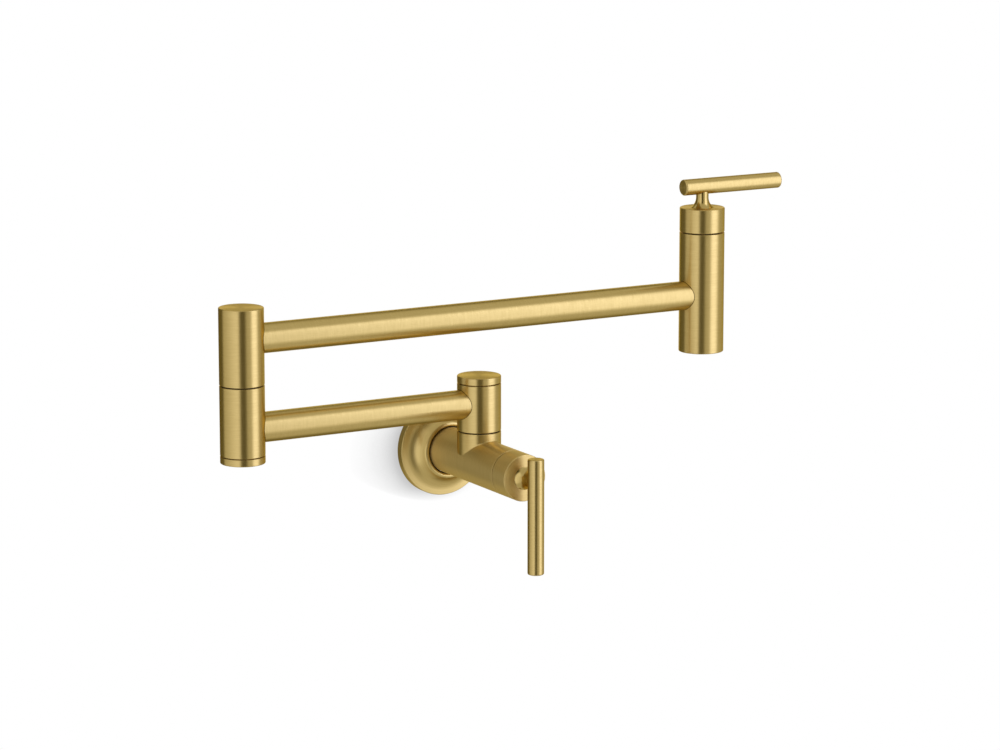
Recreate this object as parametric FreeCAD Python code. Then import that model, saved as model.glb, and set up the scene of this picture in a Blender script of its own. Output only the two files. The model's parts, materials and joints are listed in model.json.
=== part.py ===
import FreeCAD, Part
import math
import os

# Folding pot filler on a wall valve, in millimetres.
# X runs along the wall, Y into the wall and Z up. The origin lies on the wall, on the valve body's axis.

# Outside sizes
BODY_D = 34.0  # valve body and its handle hub
COLUMN_D = 32.0  # pivot and elbow columns
OUTLET_D = 33.5  # outlet column and its handle hub
ARM_D = 21.5
ARM_WALL = 1.6
LOWER_REACH = 190.0  # pivot axis to elbow axis
UPPER_REACH = 380.0  # elbow axis to outlet axis
PIVOT_OFFSET = 59.0  # wall to pivot axis
BODY_FRONT = 48.4  # pivot axis to the joint of the wall valve's hub
STUB_RISE = 6.0  # top of the valve body to the pivot joint
PIVOT_ARM_LAND = 9.45  # pivot joint to the underside of the lower arm
PIVOT_CAP_LAND = 4.25  # upper side of the lower arm to the joint of the pivot cap
ELBOW_ARM_LAND = 21.05  # elbow joint to the near side of either arm
ELBOW_CAP_LAND = 7.75  # underside of the lower arm to the joint of the elbow cap
ELBOW_HEAD_LAND = 12.55  # upper side of the upper arm to the elbow's top
OUTLET_DROP = 43.0  # upper arm's axis to the outlet rim
OUTLET_RISE = 47.1  # upper arm's axis to the joint of the outlet valve's hub
CAP_H = 5.4  # cap joint to the cap's face
HUB_H = 18.1  # hub joint to the hub's face

# Fits and edges
FIT_GAP = 0.05  # between pieces fixed to each other
RUN_GAP = 0.05  # between pieces that turn on each other
JOINT_GAP = 0.8  # open line at the pivot, the elbow and the hubs
CAP_GAP = 0.6  # open line under a cap
EDGE_ROUND = 0.4  # broken edges beside the joint lines
CROWN_ROUND = 0.7  # softened outer edges of caps, hubs and the elbow's top
OVERRUN = 1.0  # how far a cutting shape runs past the face it cuts

# Arm sockets
SOCKET_LAND = 1.0  # metal between a column's bore and the end of an arm
PORT_D = 13.0  # opening from an arm into a column
HEAD_WALL = 4.0  # closed top of the elbow

# Swivel spindles and what keeps them
SPINDLE_D = 15.0
SPINDLE_BORE = 9.2
SPINDLE_TAIL_D = 17.8
SPINDLE_TAIL_L = 9.6
SPINDLE_END_D = 10.0
SPINDLE_END_PROUD = 0.6  # threaded end beyond its nut
SPINDLE_WAIST_CUT = 1.5  # depth of the channel around the cross ports
SPINDLE_WAIST_L = 9.0
SPINDLE_PORT_D = 6.0
SPINDLE_SLACK = 0.5  # column bore around the spindle
SPINDLE_SEAL = 1.9  # section of the two rings
SEAL_SIDE = 0.5  # groove wider than its ring
SEAL_REACH = 8.6  # arm's axis to each ring
BUSH_WALL = 2.9
BUSH_SHARE = 0.74  # bush, of the pivot column below the arm
END_BUSH_T = 1.5
CAP_SEAT_WALL = 2.5  # column around the cap's spigot
CAP_SEAT_SHARE = 0.78  # depth of that seat, of the pivot column above the arm
CAP_SPIGOT_WALL = 2.2
CAP_TOP_T = 1.5
JOINT_WASHER_INSET = 0.9  # washer's rim inside the column
END_WASHER_GAP = 1.25  # washer's rim to the cap's spigot
END_WASHER_T = 0.8
SPINDLE_NUT_AF = 14.0
SPINDLE_NUT_H = 3.2

# Quarter-turn valves, from the hub joint inwards
MOUTH_WALL = 3.75  # metal around the mouth of the slimmer body
BONNET_L = 7.0
BONNET_HEAD_H = 5.0
CHAMBER_LAND = 4.0  # chamber beyond its side port
PARTITION_T = 6.0
CARTRIDGE_FLANGE_T = 2.5
CARTRIDGE_COLLAR_L = 6.0
CARTRIDGE_BARREL_L = 26.0
CARTRIDGE_NECK_L = 9.0
CARTRIDGE_SEAL = 1.7
WINDOW_H = 8.0
DISC_T = 3.0
DISC_PORT_ANGLE = 80.0
SEAT_SEAL_T = 2.5
STEM_COLLAR_T = 2.0
STEM_SEAL = 1.4
STEM_PROUD = 1.0  # round part above the cartridge
TONGUE_RISE = 1.5
SLOT_DEPTH = 1.4

# Widths inside a valve, of its mouth
BONNET_SHARE = 0.77  # across the hexagon's flats
CHAMBER_SHARE = 0.79
PASSAGE_SHARE = 0.385
BARREL_SHARE = 0.63
NECK_SHARE = 0.54
WINDOW_SHARE = 0.31
DISC_SHARE = 0.535
DISC_PORT_SHARE = 0.44
DISC_HUB_SHARE = 0.13
SEAT_TUBE_SHARE = 0.58
SEAT_TAIL_SHARE = 0.5
STEM_SHARE = 0.34
STEM_NECK_SHARE = 0.215
STEM_COLLAR_SHARE = 0.485
SQUARE_SHARE = 0.24  # across the flats of the stem's square
TONGUE_LENGTH_SHARE = 0.42
TONGUE_WIDTH_SHARE = 0.09

# Handles
HUB_WALL = 2.8
HUB_CAVITY_SHARE = 0.36  # hollow under the socket, of the hub's height
HUB_SOCKET_SHARE = 0.36  # square socket, of the hub's height
SCREW_D = 4.0
SCREW_L = 6.0
SCREW_KEY_AF = 2.0
SCREW_KEY_L = 2.0
POST_D = 9.3
POST_FLARE_R = 9.0
POST_FLARE_SHARE = 0.82  # height of the flare, of its radius
POST_TAIL_D = 6.0
POST_TAIL_SHARE = 0.2  # post's tail, of the hub's height
SPIGOT_D = 5.0
SPIGOT_PAST = 2.0  # spigot beyond the lever's axis
LEVER_D = 11.9
LEVER_LONG = 67.0  # post axis to the lever's far end
LEVER_SHORT = 17.0
LEVER_STANDOFF = 15.7  # hub face to the lever's axis
LEVER_ROUND = 1.1

# Wall flange
FLANGE_D = 71.2
FLANGE_H = 16.8
FLANGE_RIM_T = 6.4
FLANGE_RIM_ROUND = 0.6
FLANGE_RIM_W = 4.0  # brim in front and land behind
FLANGE_BRIM_TILT = 7.0  # slope of the brim, in degrees
FLANGE_PLATE_T = 4.7
FLANGE_WALL = 1.8
FLANGE_SWEEP_SHARE = 0.84  # hollow part of the ogee
FLANGE_CONE_SHARE = 0.4
FLANGE_BACK_SHARE = 0.5
FLANGE_HOLE_GAP = 0.75
FLANGE_LIP_ROUND = 1.5
FLANGE_SEAL = 1.7
FLANGE_SEAL_INSET = 2.7  # lip face to the middle of its ring
FLANGE_COLLAR_T = 4.8
GASKET_W = 8.0

# Inlet adapter
BODY_WALL = 4.0  # valve body around the adapter
ADAPTER_HEX_INSET = 2.5  # hexagon's flats inside the body's outside
ADAPTER_HEX_L = 7.6
ADAPTER_L = 30.0
ADAPTER_SEAL = 1.9
ADAPTER_SEAL_INSET = 4.0
ADAPTER_SEAL_STEP = 4.6
ADAPTER_GROOVE_CUT = 1.0
ADAPTER_GROOVE_W = 4.6
INLET_WALL = 3.7  # adapter around its half-inch female thread
INLET_L = 15.0
BODY_REAR_GAP = 0.4  # adapter's hexagon to the body's rear face
BODY_SCREW_INSET = 3.4  # body's rear face to its grub screw
BODY_SCREW_L = 4.8

# Outlet
OUTLET_WALL = 3.75  # outlet column around the aerator
AERATOR_WALL = 2.2
AERATOR_L = 11.0
AERATOR_LIP = 1.2
AERATOR_RECESS = 0.8
AERATOR_GASKET_T = 2.0
AERATOR_HOLE_SHARE = 0.16  # width of a hole, of the insert's radius
AERATOR_STEP_SHARE = 0.25  # between rings of holes, of the insert's radius
AERATOR_RINGS = 3

# Stations that follow from the sizes above
pivot_arm = PIVOT_ARM_LAND + ARM_D / 2
pivot_cap = pivot_arm + ARM_D / 2 + PIVOT_CAP_LAND
elbow_arm = ELBOW_ARM_LAND + ARM_D / 2
elbow_cap = elbow_arm + ARM_D / 2 + ELBOW_CAP_LAND
elbow_top = elbow_arm + ARM_D / 2 + ELBOW_HEAD_LAND
pivot_joint_z = BODY_D / 2 + STUB_RISE
lower_arm_z = pivot_joint_z + pivot_arm
elbow_joint_z = lower_arm_z + elbow_arm
upper_arm_z = elbow_joint_z + elbow_arm
outlet_joint_z = upper_arm_z + OUTLET_RISE
hub_joint_s = PIVOT_OFFSET + BODY_FRONT
outlet_x = UPPER_REACH - LOWER_REACH
column_bore_r = SPINDLE_D / 2 + SPINDLE_SLACK
socket_r = ARM_D / 2 + FIT_GAP
lever_axis = HUB_H + LEVER_STANDOFF
bush_l = PIVOT_ARM_LAND * BUSH_SHARE
cap_seat_d = COLUMN_D - CAP_SEAT_WALL * 2
cap_seat_l = PIVOT_CAP_LAND * CAP_SEAT_SHARE
cap_hollow_r = cap_seat_d / 2 - FIT_GAP - CAP_SPIGOT_WALL
adapter_d = BODY_D - BODY_WALL * 2
adapter_af = BODY_D - ADAPTER_HEX_INSET * 2
inlet_d = adapter_d - INLET_WALL * 2
aerator_d = OUTLET_D - OUTLET_WALL * 2

# Widths inside a valve, whose cartridge suits both bodies
mouth_d = min(BODY_D, OUTLET_D) - MOUTH_WALL * 2
bonnet_af = mouth_d * BONNET_SHARE
chamber_d = mouth_d * CHAMBER_SHARE
passage_d = mouth_d * PASSAGE_SHARE
barrel_d = mouth_d * BARREL_SHARE
neck_d = mouth_d * NECK_SHARE
window_w = mouth_d * WINDOW_SHARE
disc_d = mouth_d * DISC_SHARE
disc_port_d = mouth_d * DISC_PORT_SHARE
disc_hub_d = mouth_d * DISC_HUB_SHARE
seat_tube_d = mouth_d * SEAT_TUBE_SHARE
seat_tail_d = mouth_d * SEAT_TAIL_SHARE
stem_d = mouth_d * STEM_SHARE
stem_neck_d = mouth_d * STEM_NECK_SHARE
stem_collar_d = mouth_d * STEM_COLLAR_SHARE
square_af = mouth_d * SQUARE_SHARE
tongue_l = mouth_d * TONGUE_LENGTH_SHARE
tongue_w = mouth_d * TONGUE_WIDTH_SHARE

# Stations inside a valve, measured from the hub joint towards the handle
mouth = -JOINT_GAP / 2
flange_top = mouth - BONNET_L
flange_low = flange_top - CARTRIDGE_FLANGE_T
collar_low = flange_low - CARTRIDGE_COLLAR_L
barrel_low = collar_low - CARTRIDGE_BARREL_L
collar_mid = (collar_low + flange_low) / 2
neck_top = flange_top + CARTRIDGE_NECK_L
disc_face = barrel_low + DISC_T
moving_low = disc_face + RUN_GAP
moving_top = moving_low + DISC_T
window_top = moving_top + WINDOW_H
seat_top = barrel_low - SEAT_SEAL_T
cavity_end = HUB_H * HUB_CAVITY_SHARE
socket_end = cavity_end + HUB_H * HUB_SOCKET_SHARE
post_low = HUB_H - HUB_H * POST_TAIL_SHARE
flare_h = POST_FLARE_R * POST_FLARE_SHARE

V = FreeCAD.Vector
EAST = V(1, 0, 0)
NORTH = V(0, 1, 0)
UP = V(0, 0, 1)
ZERO = V(0, 0, 0)

# Local frames: where each group's own Z axis starts and points
wall_frame = FreeCAD.Placement(ZERO, FreeCAD.Rotation(EAST, UP, -NORTH, "ZXY"))
pivot_frame = FreeCAD.Placement(V(0, -PIVOT_OFFSET, pivot_joint_z), FreeCAD.Rotation())
elbow_frame = FreeCAD.Placement(V(-LOWER_REACH, -PIVOT_OFFSET, elbow_joint_z), FreeCAD.Rotation(EAST, 180))
wall_valve_frame = FreeCAD.Placement(V(0, -hub_joint_s, 0), FreeCAD.Rotation(-UP, EAST, -NORTH, "ZXY"))
outlet_frame = FreeCAD.Placement(V(outlet_x, -PIVOT_OFFSET, outlet_joint_z), FreeCAD.Rotation())


def placed(shape, frame):
    """The shape moved from a local frame to the part's frame."""
    return shape.transformed(frame.toMatrix(), copy=True)


def spun(edges):
    """Solid swept by a closed profile in the XZ plane turned about Z."""
    return Part.Face(Part.Wire(edges)).revolve(ZERO, UP, 360)


def line(start, end):
    """Straight edge between two (radius, height) points."""
    return Part.LineSegment(V(start[0], 0, start[1]), V(end[0], 0, end[1])).toShape()


def arc(start, middle, end):
    """Circular edge through three (radius, height) points."""
    points = [V(radius, 0, height) for radius, height in (start, middle, end)]
    return Part.Arc(*points).toShape()


def eased(before, here, after, rounding):
    """Start, middle and end of the arc that rounds one corner of a profile."""
    back = (before - here).normalize()
    ahead = (after - here).normalize()
    half = back.getAngle(ahead) / 2
    setback = rounding / math.tan(half)
    inward = (back + ahead).normalize()
    middle = here + inward * (rounding / math.sin(half) - rounding)
    return here + back * setback, middle, here + ahead * setback


def turned(*corners):
    """Lathe-turned solid about Z from (radius, height) corners, a third value rounding that corner."""
    spots = [V(each[0], 0, each[1]) for each in corners]
    after = spots[1:] + spots[:1]
    bends = []
    for index, each in enumerate(corners):
        if len(each) > 2:
            bends.append(eased(spots[index - 1], spots[index], after[index], each[2]))
        else:
            bends.append((spots[index], None, spots[index]))
    edges = []
    for (start, middle, end), (following, _, _) in zip(bends, bends[1:] + bends[:1]):
        if middle:
            edges.append(Part.Arc(start, middle, end).toShape())
        edges.append(Part.LineSegment(end, following).toShape())
    return spun(edges)


def rod(radius, low, high):
    """Plain cylinder on the local Z axis."""
    return Part.makeCylinder(radius, high - low, V(0, 0, low))


def ring(inner_r, outer_r, low, high):
    """Flat-sided ring around the local Z axis."""
    return turned((inner_r, low), (outer_r, low), (outer_r, high), (inner_r, high))


def hexagon(across_flats, low, high):
    """Six-sided prism on the local Z axis."""
    radius = across_flats / math.sqrt(3)
    turns = [math.radians(60 * step) for step in range(7)]
    points = [V(radius * math.cos(turn), radius * math.sin(turn), low) for turn in turns]
    return Part.Face(Part.makePolygon(points)).extrude(UP * (high - low))


def block(length, width, low, high):
    """Rectangular bar centred on the local Z axis."""
    return Part.makeBox(length, width, high - low, V(-length / 2, -width / 2, low))


def grub_screw(length):
    """Grub screw along Z from its flat tip at zero, with a hexagon key socket in its outer end."""
    key = hexagon(SCREW_KEY_AF, length - SCREW_KEY_L, length + OVERRUN)
    return rod(SCREW_D / 2, 0, length).cut(key)


def seal_ring(bore_r, gap, section, height):
    """Rubber ring of round section that lies inside a bore, clear of it by the gap."""
    return Part.makeTorus(bore_r - gap - section / 2, section / 2, V(0, 0, height), UP)


def seal_groove(bore_r, gap, section, height):
    """Groove cut in a shaft to hold such a ring."""
    half = (section + SEAL_SIDE) / 2
    return ring(bore_r - gap - section - FIT_GAP, bore_r + OVERRUN, height - half, height + half)


def arm_socket(side, height, bore_r):
    """Space for an arm's end in a column, and the port from it into the column's bore."""
    depth = bore_r + SOCKET_LAND
    out = EAST * side
    seat = Part.makeCylinder(socket_r, COLUMN_D, V(side * depth, 0, height), out)
    port = Part.makeCylinder(PORT_D / 2, depth + OVERRUN, V(0, 0, height), out)
    return seat.fuse(port)


def swivel_stations(cap):
    """Heights in a swivel, from its joint line to the joint line of its cap."""
    top = cap - CAP_GAP / 2
    seat = top - cap_seat_l
    bush_top = seat + END_BUSH_T
    washer_low = bush_top + RUN_GAP
    washer_top = washer_low + END_WASHER_T
    nut_top = washer_top + SPINDLE_NUT_H
    return top, seat, bush_top, washer_low, washer_top, nut_top


def swivel_sleeve(cap, arm, side):
    """Turning column: bush seat below, cap seat above and a socket for the arm."""
    top, seat, _, _, _, _ = swivel_stations(cap)
    low = JOINT_GAP / 2
    bush_r = SPINDLE_D / 2 + RUN_GAP + BUSH_WALL + FIT_GAP
    body = turned(
        (bush_r, low),
        (COLUMN_D / 2, low, EDGE_ROUND),
        (COLUMN_D / 2, top, EDGE_ROUND),
        (cap_seat_d / 2, top),
        (cap_seat_d / 2, seat),
        (column_bore_r, seat),
        (column_bore_r, low + bush_l + FIT_GAP),
        (bush_r, low + bush_l + FIT_GAP),
    )
    return body.cut(arm_socket(side, arm, column_bore_r))


def swivel_spindle(cap, arm):
    """Hollow spindle: threaded tail, two ring grooves, cross ports at the arm and a threaded end."""
    _, _, _, washer_low, _, nut_top = swivel_stations(cap)
    root = -JOINT_GAP / 2
    tail = root - SPINDLE_TAIL_L
    end = nut_top + SPINDLE_END_PROUD
    shaft_r = SPINDLE_D / 2
    body = turned(
        (0, tail),
        (SPINDLE_TAIL_D / 2, tail),
        (SPINDLE_TAIL_D / 2, root),
        (shaft_r, root),
        (shaft_r, washer_low),
        (SPINDLE_END_D / 2, washer_low),
        (SPINDLE_END_D / 2, end),
        (0, end),
    )
    waist = SPINDLE_WAIST_L / 2
    cuts = [
        rod(SPINDLE_BORE / 2, tail - OVERRUN, arm + SPINDLE_PORT_D / 2),
        ring(shaft_r - SPINDLE_WAIST_CUT, shaft_r + OVERRUN, arm - waist, arm + waist),
    ]
    for height in (arm - SEAL_REACH, arm + SEAL_REACH):
        cuts.append(seal_groove(column_bore_r, RUN_GAP, SPINDLE_SEAL, height))
    for direction in (EAST, NORTH):
        start = UP * arm - direction * shaft_r
        cuts.append(Part.makeCylinder(SPINDLE_PORT_D / 2, SPINDLE_D, start, direction))
    return body.cut(cuts)


def swivel_cap(cap):
    """Flat cap with a spigot that screws into the sleeve, hollow over the nut."""
    _, _, bush_top, _, _, _ = swivel_stations(cap)
    spigot_r = cap_seat_d / 2 - FIT_GAP
    low = cap + CAP_GAP / 2
    return turned(
        (cap_hollow_r, bush_top),
        (spigot_r, bush_top),
        (spigot_r, low),
        (COLUMN_D / 2, low, EDGE_ROUND),
        (COLUMN_D / 2, cap + CAP_H, CROWN_ROUND),
        (0, cap + CAP_H),
        (0, cap + CAP_H - CAP_TOP_T),
        (cap_hollow_r, cap + CAP_H - CAP_TOP_T),
    )


def swivel(name, frame, cap, arm, side):
    """All the pieces of one swivel joint, placed in the part's frame."""
    _, seat, bush_top, washer_low, washer_top, nut_top = swivel_stations(cap)
    low = JOINT_GAP / 2
    run_r = SPINDLE_D / 2 + RUN_GAP
    end_r = SPINDLE_END_D / 2 + FIT_GAP
    nut = hexagon(SPINDLE_NUT_AF, washer_top, nut_top)
    seals = (arm - SEAL_REACH, arm + SEAL_REACH)
    rings = [seal_ring(column_bore_r, RUN_GAP, SPINDLE_SEAL, height) for height in seals]
    pieces = {
        "sleeve": swivel_sleeve(cap, arm, side),
        "spindle": swivel_spindle(cap, arm),
        "spindle_o_rings": Part.makeCompound(rings),
        "joint_washer": ring(run_r, COLUMN_D / 2 - JOINT_WASHER_INSET, -low, low - RUN_GAP),
        "bush": ring(run_r, run_r + BUSH_WALL, low, low + bush_l),
        "end_bush": ring(run_r, cap_seat_d / 2 - FIT_GAP, seat, bush_top),
        "end_washer": ring(end_r, cap_hollow_r - END_WASHER_GAP, washer_low, washer_top),
        "nut": nut.cut(rod(end_r, washer_top - OVERRUN, nut_top + OVERRUN)),
        "cap": swivel_cap(cap),
    }
    return {f"{name}_{piece}": placed(shape, frame) for piece, shape in pieces.items()}


def chamber_floor(port):
    """Depth of a valve chamber whose side port lies this far below the hub joint."""
    return -(port + PORT_D / 2 + CHAMBER_LAND)


def valve_space(port):
    """Everything bored out of a body for one valve: mouth, chamber and the seat tube's thread."""
    floor = chamber_floor(port)
    spaces = [
        rod(mouth_d / 2, flange_low, mouth + OVERRUN),
        rod(chamber_d / 2, floor, flange_low),
        rod(seat_tail_d / 2 + FIT_GAP, floor - PARTITION_T, floor),
    ]
    return spaces[0].multiFuse(spaces[1:])


def disc_ports(low, high, turn):
    """Two opposite quarter openings through a ceramic disc, turned about Z by an angle."""
    ports = []
    for start in (turn - DISC_PORT_ANGLE / 2, turn + 180 - DISC_PORT_ANGLE / 2):
        wedge = Part.makeCylinder(disc_port_d / 2, high - low, V(0, 0, low), UP, DISC_PORT_ANGLE)
        wedge.rotate(ZERO, UP, start)
        ports.append(wedge.cut(rod(disc_hub_d / 2, low, high)))
    return ports


def valve_discs():
    """Fixed and moving ceramic discs, closed: their openings lie a quarter turn apart."""
    fixed = rod(disc_d / 2, barrel_low, disc_face)
    fixed = fixed.cut(disc_ports(barrel_low - OVERRUN, disc_face + OVERRUN, 0))
    moving = rod(disc_d / 2, moving_low, moving_top)
    slack = FIT_GAP * 2
    slot = block(tongue_l + slack, tongue_w + slack, moving_top - SLOT_DEPTH, moving_top + OVERRUN)
    moving = moving.cut(disc_ports(moving_low - OVERRUN, moving_top + OVERRUN, 90) + [slot])
    return fixed, moving


def cartridge():
    """Cartridge housing: windowed barrel around the discs, collar with its ring, flange and neck."""
    collar_r = chamber_d / 2 - FIT_GAP
    neck_r = neck_d / 2
    disc_r = disc_d / 2 + FIT_GAP
    stem_r = stem_d / 2 + RUN_GAP
    body = turned(
        (disc_r, barrel_low),
        (barrel_d / 2, barrel_low),
        (barrel_d / 2, collar_low),
        (collar_r, collar_low),
        (collar_r, flange_low),
        (mouth_d / 2 - FIT_GAP, flange_low),
        (mouth_d / 2 - FIT_GAP, flange_top),
        (neck_r, flange_top),
        (neck_r, neck_top),
        (stem_r, neck_top),
        (stem_r, window_top),
        (disc_r, window_top),
    )
    windows = block(window_w, chamber_d, moving_top, window_top)
    return body.cut([windows, seal_groove(chamber_d / 2, FIT_GAP, CARTRIDGE_SEAL, collar_mid)])


def valve_stem():
    """Stem: tongue in the moving disc, thrust collar, sealed shaft and a square for the hub."""
    collar_top = window_top - RUN_GAP
    tongue_top = moving_top + TONGUE_RISE
    shaft_top = neck_top + STEM_PROUD
    body = turned(
        (0, moving_top),
        (stem_neck_d / 2, moving_top),
        (stem_neck_d / 2, collar_top - STEM_COLLAR_T),
        (stem_collar_d / 2, collar_top - STEM_COLLAR_T),
        (stem_collar_d / 2, collar_top),
        (stem_d / 2, collar_top),
        (stem_d / 2, shaft_top),
        (0, shaft_top),
    )
    body = body.cut(seal_groove(stem_d / 2 + RUN_GAP, RUN_GAP, STEM_SEAL, collar_mid))
    tongue = block(tongue_l, tongue_w, moving_top - SLOT_DEPTH + FIT_GAP, tongue_top)
    square = block(square_af, square_af, shaft_top, socket_end - FIT_GAP)
    return body.multiFuse([tongue, square])


def seat_tube(port):
    """Screwed-in seat: a tube from the partition up to the seal under the cartridge."""
    floor = chamber_floor(port)
    return turned(
        (passage_d / 2, floor - PARTITION_T),
        (seat_tail_d / 2, floor - PARTITION_T),
        (seat_tail_d / 2, floor),
        (seat_tube_d / 2, floor),
        (seat_tube_d / 2, seat_top),
        (passage_d / 2, seat_top),
    )


def bonnet_nut():
    """Nut in the mouth that holds the cartridge down, with a hexagon inside the hub."""
    thread = rod(mouth_d / 2 - FIT_GAP, flange_top, mouth)
    head = hexagon(bonnet_af, mouth, mouth + BONNET_HEAD_H)
    bore = rod(neck_d / 2 + FIT_GAP, flange_top - OVERRUN, mouth + BONNET_HEAD_H + OVERRUN)
    return thread.fuse(head).cut(bore)


def handle_hub(hub_d):
    """Hub of a handle: skirt over the bonnet nut, square socket, post hole and grub-screw hole."""
    low = JOINT_GAP / 2
    cavity_r = hub_d / 2 - HUB_WALL
    body = turned(
        (cavity_r, low),
        (hub_d / 2, low, EDGE_ROUND),
        (hub_d / 2, HUB_H, CROWN_ROUND),
        (0, HUB_H),
        (0, cavity_end),
        (cavity_r, cavity_end),
    )
    square = square_af + FIT_GAP * 2
    screw_z = (cavity_end + socket_end) / 2
    return body.cut([
        block(square, square, cavity_end - OVERRUN, socket_end),
        rod(POST_TAIL_D / 2 + FIT_GAP, post_low, HUB_H + OVERRUN),
        Part.makeCylinder(SCREW_D / 2 + FIT_GAP, hub_d, V(0, 0, screw_z), EAST),
    ])


def hub_screw():
    """Grub screw that presses on the stem's square, under the long end of the lever."""
    tip = V(square_af / 2 + FIT_GAP, 0, (cavity_end + socket_end) / 2)
    return placed(grub_screw(SCREW_L), FreeCAD.Placement(tip, FreeCAD.Rotation(UP, EAST)))


def lever_rod(radius, gap):
    """Straight lever across the handle's axis, at its standoff, grown by a gap."""
    bar = turned(
        (0, -LEVER_SHORT),
        (radius + gap, -LEVER_SHORT, LEVER_ROUND),
        (radius + gap, LEVER_LONG, LEVER_ROUND),
        (0, LEVER_LONG),
    )
    return placed(bar, FreeCAD.Placement(V(0, 0, lever_axis), FreeCAD.Rotation(UP, EAST)))


def lever():
    """The lever with a blind hole for the post's spigot."""
    hole = rod(SPIGOT_D / 2 + FIT_GAP, HUB_H, lever_axis + SPIGOT_PAST + FIT_GAP)
    return lever_rod(LEVER_D / 2, 0).cut(hole)


def lever_post():
    """Post: threaded tail in the hub, flared foot, waist, and a spigot into the lever."""
    neck_r = POST_D / 2
    tail_r = POST_TAIL_D / 2
    flare_top = HUB_H + flare_h

    def flare(height):
        drop = flare_top - height
        return neck_r + POST_FLARE_R - math.sqrt(POST_FLARE_R**2 - drop**2), height

    foot = flare(HUB_H)
    tail_low = post_low + FIT_GAP
    edges = [
        line((0, tail_low), (tail_r, tail_low)),
        line((tail_r, tail_low), (tail_r, HUB_H)),
        line((tail_r, HUB_H), foot),
        arc(foot, flare(HUB_H + flare_h / 2), flare(flare_top)),
        line(flare(flare_top), (neck_r, lever_axis)),
        line((neck_r, lever_axis), (0, lever_axis)),
        line((0, lever_axis), (0, tail_low)),
    ]
    saddle = lever_rod(LEVER_D / 2, FIT_GAP)
    spigot = rod(SPIGOT_D / 2, flare_top, lever_axis + SPIGOT_PAST)
    return spun(edges).cut(saddle).fuse(spigot)


def valve(name, frame, port, hub_d):
    """All the pieces of one quarter-turn valve and its handle, placed in the part's frame."""
    fixed, moving = valve_discs()
    pieces = {
        "seat_tube": seat_tube(port),
        "seat_seal": ring(passage_d / 2, barrel_d / 2, seat_top, barrel_low),
        "fixed_disc": fixed,
        "moving_disc": moving,
        "cartridge": cartridge(),
        "cartridge_o_ring": seal_ring(chamber_d / 2, FIT_GAP, CARTRIDGE_SEAL, collar_mid),
        "stem": valve_stem(),
        "stem_o_ring": seal_ring(stem_d / 2 + RUN_GAP, RUN_GAP, STEM_SEAL, collar_mid),
        "bonnet_nut": bonnet_nut(),
        "hub": handle_hub(hub_d),
        "hub_screw": hub_screw(),
        "post": lever_post(),
        "lever": lever(),
    }
    return {f"{name}_{piece}": placed(shape, frame) for piece, shape in pieces.items()}


def flange_profile():
    """Outline of the wall flange: coned brim, hollow sweep, rolled lip and the hollow back."""
    rim_r = FLANGE_D / 2
    sweep_r = rim_r - FLANGE_RIM_W
    hole_r = BODY_D / 2 + FLANGE_HOLE_GAP
    lip_r = hole_r + FLANGE_LIP_ROUND
    edge = FLANGE_RIM_ROUND
    brim = math.radians(FLANGE_BRIM_TILT)

    def rim(angle):
        return rim_r - edge * (1 - math.cos(angle)), FLANGE_RIM_T - edge * (1 - math.sin(angle))

    brim_r, brim_s = rim(math.pi / 2 - brim)
    sweep_s = brim_s + (brim_r - sweep_r) * math.tan(brim)
    # The hollow sweep and the rolled crown meet at one slope, which follows from the rise to be made
    rise = (FLANGE_H - sweep_s) / (sweep_r - lip_r)
    turn = 1 - FLANGE_SWEEP_SHARE * (1 - math.cos(brim) - rise * math.sin(brim))
    tilt = math.atan(rise) + math.acos(turn / math.hypot(1, rise))
    both = (sweep_r - lip_r) / (math.sin(tilt) - FLANGE_SWEEP_SHARE * math.sin(brim))
    hollow = both * FLANGE_SWEEP_SHARE
    crown = both - hollow

    def sweep(angle):
        return (
            sweep_r - hollow * (math.sin(angle) - math.sin(brim)),
            sweep_s + hollow * (math.cos(brim) - math.cos(angle)),
        )

    def roll(angle):
        return lip_r + crown * math.sin(angle), FLANGE_H - crown * (1 - math.cos(angle))

    cavity_r = roll(tilt)[0] - FLANGE_WALL
    collar_low_s = FLANGE_H - FLANGE_COLLAR_T
    plate_s = FLANGE_RIM_T - FLANGE_PLATE_T
    cone_r = sweep_r - (sweep_r - cavity_r) * FLANGE_CONE_SHARE
    lip = FLANGE_LIP_ROUND
    lip_bevel = lip * (1 - math.sqrt(2) / 2)
    straight = [
        (hole_r, FLANGE_H - lip),
        (hole_r, collar_low_s),
        (cavity_r, collar_low_s),
        (cavity_r, FLANGE_H * FLANGE_BACK_SHARE),
        (cone_r, plate_s),
        (sweep_r, plate_s),
        (sweep_r, 0),
        (rim_r, 0),
        rim(0),
    ]
    edges = [line(start, end) for start, end in zip(straight, straight[1:])]
    edges += [
        arc(rim(0), rim((math.pi / 2 - brim) / 2), (brim_r, brim_s)),
        line((brim_r, brim_s), sweep(brim)),
        arc(sweep(brim), sweep((brim + tilt) / 2), sweep(tilt)),
        arc(sweep(tilt), roll(tilt / 2), roll(0)),
        arc(roll(0), (hole_r + lip_bevel, FLANGE_H - lip_bevel), straight[0]),
    ]
    return edges, sweep_r, plate_s


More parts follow.
